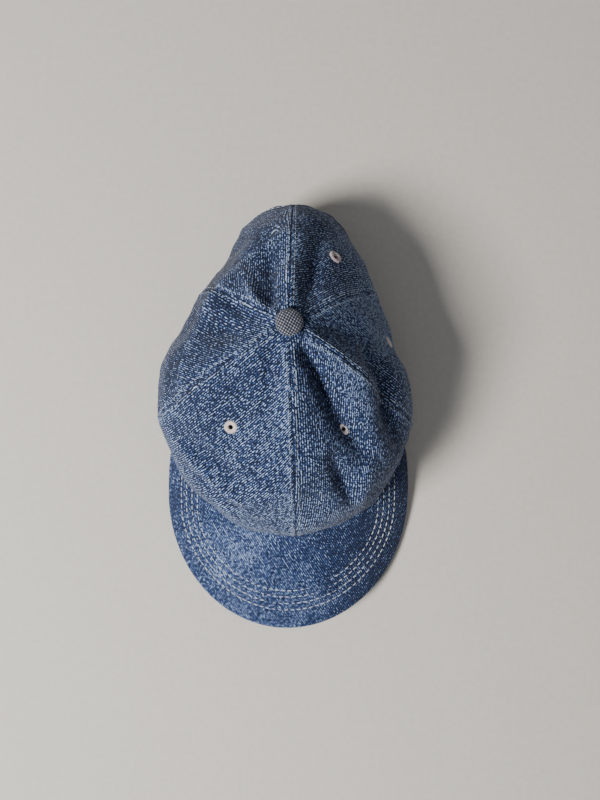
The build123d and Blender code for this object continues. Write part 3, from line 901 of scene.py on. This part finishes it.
def weave(x, y):
    """Height of a plain weave's threads, 0 in the gaps and 1 on the crowns."""
    a, b = x / WEAVE_PITCH, y / WEAVE_PITCH
    warp = np.sqrt(np.abs(np.sin(pi * a))) * (0.5 + 0.5 * np.cos(pi * (b - 0.5) + pi * np.floor(a)))
    weft = np.sqrt(np.abs(np.sin(pi * b))) * (0.5 - 0.5 * np.cos(pi * (a - 0.5) + pi * np.floor(b)))
    return np.maximum(warp, weft)


def button():
    """The covered button: a domed disc of coarse cloth, gathered under its edge."""
    control = ((0, BUTTON_HEIGHT), (0.5 * BUTTON_RADIUS, BUTTON_HEIGHT),
               (0.97 * BUTTON_RADIUS, 0.8 * BUTTON_HEIGHT), (BUTTON_RADIUS, BUTTON_EDGE))
    a = np.linspace(0, pi / 2, 8)[1:, None]
    under = np.hstack((BUTTON_RADIUS - 1.6 + 1.6 * np.cos(a), BUTTON_EDGE - 2.2 * np.sin(a)))
    profile = resample(np.vstack((bezier(control, 60), under, ((2.0, BUTTON_EDGE - 2.2),))), 84)
    profile[0, 0] = 0.02
    lap = np.linspace(0, 2 * pi, 300, endpoint=False)
    steps = lengths_along(profile)
    slope = np.gradient(profile, axis=0)
    normal = unit(np.stack((-slope[:, 1], slope[:, 0]), axis=1))
    x = steps[:, None] * np.cos(lap + 0.5)
    y = steps[:, None] * np.sin(lap + 0.5)
    height = weave(x + 0.25 * np.sin(y / 3), y + 0.25 * np.sin(x / 4))
    fade = 1 - smoothstep(steps, 12.5, 14.5)[:, None]
    gather = 0.2 * np.sin(26 * lap) * smoothstep(steps, 10.5, 13)[:, None]
    offset = 0.42 * (height - 0.6) * fade + gather
    radius = profile[:, :1] + normal[:, :1] * offset
    up = profile[:, 1:] + normal[:, 1:] * offset
    centre = from_hem(0.0, BUTTON_BACK, BUTTON_LEVEL)
    across, back = (radius * np.cos(lap))[..., None], (radius * np.sin(lap))[..., None]
    points = centre + ACROSS * across + BACKWARD * back + UPWARD * up[..., None]
    return from_rings("button_cover_cloth", points, wear=height * (0.7 + 0.3 * fade))


finish_piece(button(), button_cloth(), replaces=("button_cover",))


# ---------------------------------------------------------------- brim
def brim_flat(x, y):
    """Flat coordinates of places on the brim's middle surface, given from above."""
    radius = BEND - BRIM_THICK / 2
    angle = np.arcsin(np.clip(x / radius, -1, 1))
    out = (y - BRIM_AXIS[1] - radius * np.cos(angle) * BRIM_UP[1]) / BRIM_OUT[1]
    return np.stack((BEND * angle, out), axis=-1)


def brim_bent(flat, lift):
    """Points of the bent brim from flat coordinates, lifted from the top face."""
    angle = flat[..., 0] / BEND
    radius = BEND + np.asarray(lift)
    return (BRIM_AXIS + flat[..., 1:] * BRIM_OUT
            + (radius * np.sin(angle))[..., None] * ACROSS + (radius * np.cos(angle))[..., None] * BRIM_UP)


def brim_edge():
    """The brim's outer edge in flat coordinates, from its right end round the tip to its left."""
    side = bezier((BRIM_END, (80.9, -26.0), (HALF_WIDTH, -40.0), (HALF_WIDTH, WIDEST_Y)), 60)
    a = np.linspace(0, pi, 240)[1:-1, None]
    tip = np.hstack((HALF_WIDTH * np.cos(a), WIDEST_Y + (TIP_Y - WIDEST_Y) * np.sin(a)))
    plan = np.vstack((side, tip, side[::-1] * (-1, 1)))
    return resample(brim_flat(plan[:, 0], plan[:, 1]), 300)


edge = brim_edge()
root_turn = np.arccos((ROOT_CENTRE - BRIM_END[1]) / ROOT_RADIUS)
root_angles = np.linspace(root_turn, -root_turn, len(edge))
root = brim_flat(ROOT_RADIUS * np.sin(root_angles), ROOT_CENTRE - ROOT_RADIUS * np.cos(root_angles))
blend = (np.linspace(0, 1, 110) ** 1.7)[:, None, None]
brim_sheet = edge * (1 - blend) + root * blend


def edge_distance(flat):
    gaps = np.full(flat.shape[:-1], 1e9)
    for a, b in zip(edge, edge[1:]):
        d = b - a
        t = np.clip(((flat - a) @ d) / (d @ d), 0, 1)
        gaps = np.minimum(gaps, np.linalg.norm(flat - a - t[..., None] * d, axis=-1))
    return gaps


brim_gap = edge_distance(brim_sheet)
HALF = BRIM_THICK / 2
rounding = HALF * (1 - np.sqrt(np.clip(1 - (1 - np.clip(brim_gap / HALF, 0, 1)) ** 2, 0, 1)))
brim_grooves = sum(bump_on(brim_gap, row, 0.75) for row in BRIM_ROWS)
brim_plan = brim_bent(brim_sheet, 0)[..., :2]
quilting = 0.13 * soft_noise(brim_sheet, 5.0, 11) * bump_on(brim_gap, 18, 9) - 0.24 * brim_grooves
drape = 0.35 * soft_noise(brim_sheet, 42, 12) * smoothstep(brim_gap, 2, 20)


def brim_face(name, top):
    """One cover of the brim: its outer face, rolled at the edge to the middle of the board."""
    if top:
        lift = -rounding + quilting + drape
        back = np.minimum(np.maximum(lift - BRIM_COVER, -HALF + 0.02), lift)
    else:
        lift = -BRIM_THICK + rounding - 0.8 * quilting + drape
        back = np.maximum(np.minimum(lift + BRIM_COVER, -HALF - 0.02), lift)
    rows_middle = 0.5 * (BRIM_ROWS[0] + BRIM_ROWS[3])
    # Paler at the edge and between the stitch rows from wear; a paler patch on the top face left of the
    # middle; darker toward the right, painted shade, and toward the far left end.
    worn_and_shaded = 0.75 * bump_on(brim_gap, 0, 1.6) + 0.105 * bump_on(brim_gap, rows_middle, 9)
    worn_and_shaded += 0.3 * bump_on(np.hypot(brim_plan[..., 0] + 24, brim_plan[..., 1] + 84), 0, 22) * top
    worn_and_shaded -= 0.75 * smoothstep(brim_plan[..., 0], 5, 60) + 0.35 * smoothstep(-brim_plan[..., 0], 30, 75)
    return shell(name, brim_bent(brim_sheet, lift), brim_bent(brim_sheet, back), brim_sheet, worn_and_shaded)


for face in ("top", "under"):
    finish_piece(brim_face(f"brim_{face}_cover_cloth", face == "top"), brim_denim,
                 replaces=(f"brim_{face}_cover",))


def brim_row(gap, lift, sign):
    """A stitch row parallel to the brim's edge, and its normals."""
    inward = unit(np.gradient(edge, axis=0))[:, ::-1] * (1, -1)
    tip = len(edge) // 2
    if (inward[tip] @ (root[tip] - edge[tip])) < 0:
        inward = -inward
    flat = resample(edge + inward * gap, 600)
    path = brim_bent(flat, lift)
    outside = np.hypot(path[:, 0], path[:, 1] - ROOT_CENTRE) > ROOT_RADIUS + 1.4
    path, flat = path[outside], flat[outside]
    angle = flat[:, :1] / BEND
    return path, sign * (np.sin(angle) * ACROSS + np.cos(angle) * BRIM_UP)


for face, lift, sign in (("top", -0.15, 1), ("under", -BRIM_THICK + 0.15, -1)):
    stitches(f"brim_{face}_stitching", [brim_row(gap, lift, sign) for gap in BRIM_ROWS], pale_thread,
             **BRIM_STITCH)


# ---------------------------------------------------------------- inside of the crown
def room_inside(angle, up):
    """How far from the button's axis a lining may stand, at an angle from the front and a level."""
    start = from_hem(0.0, BUTTON_BACK, float(up))
    hit = crown_tree.ray_cast(Vector(start), Vector(sin(angle) * ACROSS - cos(angle) * BACKWARD))[0]
    return 200.0 if hit is None else np.linalg.norm(np.array(hit) - start) - CLOTH - 1.2


def band_push(angles, up, out, section):
    """How far the band gives way inward so that it stays inside the sunken crown."""
    room = np.array([[room_inside(angle, level) for level in row] for angle, row in zip(angles, up)])
    push = np.maximum(out - room + section[None, :, 1].max() - section[None, :, 1], 0)
    push = np.max([np.roll(push, k, axis=0) for k in range(-3, 4)], axis=0)
    soft = np.exp(-(np.arange(-6, 7) / 3.0) ** 2)
    soft /= soft.sum()
    return np.apply_along_axis(lambda k: np.convolve(np.pad(k, 6, mode="edge"), soft, "valid"), 0, push)


def sweatband():
    """The cotton band inside the hem, standing a little loose, with a soft upper edge."""
    a = np.linspace(0, pi, 2000)
    half_gap = reach(a, BAND_FRONT, BAND_BACK) * np.sin(a)
    end = a[np.flatnonzero((a > pi / 2) & (half_gap < ARCH_RADIUS + 1.6))[0]]
    a = np.linspace(-end, end, 420)
    r = reach(a, BAND_FRONT, BAND_BACK)
    low = np.maximum(hem_levels(a) - 4.2, 0.2)
    section = band_section(BAND_WIDTH, BAND_THICK, 16)
    up = low[:, None] + BAND_WIDTH / 2 + section[None, :, 0]
    out = r[:, None] + section[None, :, 1]
    points = around_button(out - band_push(a, up, out, section), a[:, None], up)
    wave_out = 0.55 * soft_noise(points, 30, 21) * smoothstep(up - low[:, None], 4, 26)
    outward = np.sin(a)[:, None] * ACROSS - np.cos(a)[:, None] * BACKWARD
    points += wave_out[..., None] * outward[:, None]
    along = lengths_along(points[:, 0])
    uv = np.stack(np.broadcast_arrays(along[:, None], section[None, :, 0]), axis=-1)
    seam = around_button(r - 0.62, a, low + BAND_WIDTH / 2 - 13.2)
    return from_rings("sweatband_cloth", points, uv, np.zeros(points.shape[:2])), (seam, -outward)


band, band_row = sweatband()
finish_piece(band, band_cloth, replaces=("sweatband",))
stitches("sweatband_stitching", [band_row], pale_thread)


def seam_tape(seam):
    """A cotton tape over a seam's inside, following the crown's folds."""
    rows = np.arange(float(ROWS))
    column = seam * COLUMNS
    use = (length_down[:, column] > 12) & (to_hem[:, column] > 4)
    if SEAMS[seam] == "back":
        use &= arch_gap(crown[:, column]) > BINDING_WIDTH
    near, far, uv = [], [], []
    for offset in np.linspace(-TAPE_WIDTH / 2, TAPE_WIDTH / 2, 9):
        # Close to the seam's ridge the tape's normals are those beside it.
        clear = max(abs(offset), 3.0) * (1 if offset >= 0 else -1)
        surface = sample(lining, rows, column_at(seam, offset))
        normal = unit(sample(lining_normals, rows, column_at(seam, clear)))
        near.append((surface - normal * (CLOTH + 0.15))[use])
        far.append((surface - normal * (CLOTH + 0.7))[use])
        uv.append(np.stack((np.full(ROWS, offset), length_down[:, column]), axis=-1)[use])
    rings = np.stack(near + far[::-1], axis=1)
    return from_rings(f"{SEAMS[seam]}_seam_tape_cloth", rings, np.stack(uv + uv[::-1], axis=1),
                      np.zeros(rings.shape[:2]))


for index, name in enumerate(SEAMS):
    finish_piece(seam_tape(index), tape_cloth, replaces=(f"{name}_seam_tape",))


# ---------------------------------------------------------------- back opening
def arch_path():
    """The opening's outline in the arch's own plane with its outward directions."""
    leg = np.linspace(0.5, ARCH_STRAIGHT, 16)[:-1]
    a = np.linspace(pi, 0, 90)
    round_top = np.stack((np.cos(a), np.sin(a)), axis=1)
    path = np.vstack((np.stack((np.full(len(leg), -ARCH_RADIUS), leg), axis=1),
                      (0, ARCH_STRAIGHT) + ARCH_RADIUS * round_top,
                      np.stack((np.full(len(leg), ARCH_RADIUS), leg[::-1]), axis=1)))
    away = np.vstack((np.tile((-1.0, 0.0), (len(leg), 1)), round_top, np.tile((1.0, 0.0), (len(leg), 1))))
    return path, away


def behind_crown(x, up):
    return on_crown(from_hem(float(x), 60.0, float(up)), -BACKWARD)


def binding():
    """Tape folded over the opening's raw edge."""
    path, away = arch_path()
    offsets = (6.8, 5.2, 3.4, 1.6, 0.2)
    rings, uv, outer_row, inner_row = [], [], [], []
    for step, (point, out) in enumerate(zip(path, away)):
        hits = [behind_crown(*(point + out * gap)) for gap in offsets]
        thick = 0.45 + 0.06 * sin(step * 0.9)
        front = [hit + normal * thick for hit, normal in hits]
        back = [hit - normal * (CLOTH + thick) for hit, normal in hits]
        hit, normal = hits[-1]
        inward = -(out[0] * ACROSS + out[1] * UPWARD)
        wrap = [hit + inward * 0.5 + normal * 0.1, hit + inward * 0.65 - normal * CLOTH / 2,
                hit + inward * 0.5 - normal * (CLOTH + 0.1)]
        inner = [hit - normal * (CLOTH + 0.05) for hit, normal in hits]
        inner += [hit + inward * 0.1 - normal * CLOTH / 2]
        inner += [hit + normal * 0.05 for hit, normal in hits[::-1]]
        rings.append(front + wrap + back[::-1] + inner)
        uv.append([(k * 1.6, step * 1.15) for k in range(len(rings[-1]))])
        outer_row.append((hits[1][0] + hits[1][1] * 0.5, hits[1][1]))
        inner_row.append((hits[1][0] - hits[1][1] * (CLOTH + 0.5), -hits[1][1]))
    piece = from_rings("back_opening_binding_cloth", rings, uv, np.full((len(rings), len(rings[0])), 0.1))
    rows = [tuple(np.array(part) for part in zip(*row)) for row in (outer_row, inner_row)]
    return piece, rows


trim, trim_rows = binding()
finish_piece(trim, crown_denim, replaces=("back_opening_binding",))
stitches("binding_stitching", trim_rows, pale_thread)


# ---------------------------------------------------------------- strap and buckle
STRAP_RADIUS, STRAP_THICK, STRAP_MIDDLE, STRAP_WIDTH = 43.6, 1.5, 14.0, 20.0
STRAP_ENDS = (-76.0, 48.0)
BAR_AT, TAB_END = (46.0, 28.5), 56.0


def back_point(radius, angle, up):
    """Points by radius and angle about the centre of the crown's back curve."""
    a = np.radians(angle)
    return from_hem(radius * np.sin(a), BACK_CENTRE + radius * np.cos(a), up)


def radial(angle):
    a = np.radians(angle)
    return np.sin(a)[..., None] * ACROSS + np.cos(a)[..., None] * BACKWARD


def strap():
    """The cloth strap, an arc with a rounded tail, and the rows of stitches along it."""
    angle = np.linspace(*STRAP_ENDS, 180)
    centre = back_point(STRAP_RADIUS, angle, STRAP_MIDDLE)
    from_tail = (STRAP_ENDS[1] - angle) * pi / 180 * STRAP_RADIUS
    widths = np.sqrt(np.clip(1 - (1 - np.clip((from_tail + 0.5) / 9.0, 0, 1)) ** 2.4, 0.05, 1))
    across = np.broadcast_to(UPWARD, centre.shape)
    piece = sweep_band("adjuster_strap_cloth", centre, across, radial(angle), STRAP_WIDTH, STRAP_THICK,
                       widths)
    rows = []
    for face in (1, -1):
        for side in (-1, 1):
            lift = STRAP_RADIUS + face * STRAP_THICK / 2
            level = (side * (STRAP_WIDTH / 2 - 2.4) * widths)[:, None]
            line = back_point(lift, angle, STRAP_MIDDLE) + UPWARD * level
            rows.append((line[4:-14], face * radial(angle)[4:-14]))
    return piece, rows


strap_piece, strap_rows = strap()
finish_piece(strap_piece, crown_denim, body="strap", replaces=("adjuster_strap",))
stitches("strap_stitching", strap_rows, pale_thread, body="strap", proud=0.08)


def tab():
    """A tape looped round the buckle's bar, both ends under the right back panel."""
    bar_radius, bar_angle = BAR_AT
    round_bar = (bar_radius + cos(pi / 2), bar_angle - degrees_along(1.0, bar_radius))
    control = [(45.97, TAB_END), (45.97, 45), (46.1, 36), (46.75, 31), (47.0, 28.7), round_bar,
               (45.05, 28.7), (45.2, 31.5), (45.42, 36), (45.42, 45), (45.42, TAB_END)]
    flat = [(r * sin(radians(a)), r * cos(radians(a))) for r, a in control]
    path = smooth_path(flat, 150)
    centre = from_hem(path[:, 0], BACK_CENTRE + path[:, 1], STRAP_MIDDLE)
    along = unit(np.gradient(centre, axis=0))
    through = unit(np.cross(along, UPWARD))
    across = np.broadcast_to(UPWARD, centre.shape)
    return sweep_band("buckle_tab_tape", centre, across, through, TAB_WIDTH, 0.48)


def degrees_along(length, radius):
    return length / radius * 180 / pi


finish_piece(tab(), tape_cloth, replaces=("buckle_tab",))


# ---------------------------------------------------------------- CAD pieces that stay
def repaint(nodes, material):
    """Show CAD nodes as they are, in a material of their own."""
    for name in nodes:
        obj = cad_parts[name]
        obj = bpy.data.objects[obj] if isinstance(obj, str) else obj
        obj.data.materials.clear()
        obj.data.materials.append(material)


repaint(("buckle_frame", "buckle_pin", "buckle_lever"), aged_brass())
repaint(("button_rivet", "button_washer"), satin_metal())
repaint(("button_core",), moulded("button_plastic", (0.02, 0.02, 0.022), (0.05, 0.05, 0.055)))
repaint(("brim_board",), moulded("brim_plastic", (0.60, 0.59, 0.55), (0.74, 0.73, 0.69)))


# ---------------------------------------------------------------- floor, light, camera
def floor():
    size, level = 2500.0, cad_lo[2] / MM - 0.05
    corners = [(x * size, y * size, level) for x, y in ((-1, -1), (1, -1), (1, 1), (-1, 1))]
    piece = make_mesh("floor", corners, [(0, 1, 2, 3)])
    piece.data.materials.append(floor_paint())


def lamp(name, place, aim, size, power, colour):
    data = bpy.data.lights.new(name, "AREA")
    data.size = size
    data.energy = power
    data.color = colour
    obj = bpy.data.objects.new(name, data)
    bpy.context.scene.collection.objects.link(obj)
    obj.location = place
    obj.rotation_mode = "QUATERNION"
    obj.rotation_quaternion = (Vector(aim) - Vector(place)).to_track_quat("-Z", "Y")


def camera():
    """Straight above the cap, turned a little, with the lens that frames 560 mm on the floor."""
    data = bpy.data.cameras.new("camera")
    data.sensor_width = 36.0
    data.lens = 36.0 * 550 / 560
    obj = bpy.data.objects.new("camera", data)
    bpy.context.scene.collection.objects.link(obj)
    obj.location = (0.0068, 0.014, 0.55)
    obj.rotation_euler = (0, 0, radians(1.22))
    bpy.context.scene.camera = obj


# ---------------------------------------------------------------- cloth as it was cut
ARCH_CUT = 1300.0


def cut_size(grid):
    """The flat width, length and area of a cut whose grid of points, in millimetres, is unbent."""
    widths = np.linalg.norm(np.diff(grid, axis=1), axis=2)
    lengths = np.linalg.norm(np.diff(grid, axis=0), axis=2)
    area = ((widths[1:] + widths[:-1]) / 2 * (lengths[:, 1:] + lengths[:, :-1]) / 2).sum()
    return widths.sum(axis=1).max(), lengths.sum(axis=0).max(), area


for index, name in enumerate(PANELS):
    width, length, area = cut_size(unfolded[:, panel_span(index)])
    area -= ARCH_CUT * name.startswith("back")

floor()
middle_point = (0.0, 0.0, 0.04)
lamp("key", (-0.96, -0.46, 1.2), middle_point, 0.5, 43, (1.0, 0.985, 0.96))
lamp("fill", (0.5, -0.9, 1.3), middle_point, 1.4, 2.2, (1.0, 0.97, 0.93))
world = bpy.data.worlds.new("world")
world.use_nodes = True
world.node_tree.nodes["Background"].inputs["Color"].default_value = (0.88, 0.92, 1.0, 1)
world.node_tree.nodes["Background"].inputs["Strength"].default_value = 0.2
bpy.context.scene.world = world
camera()
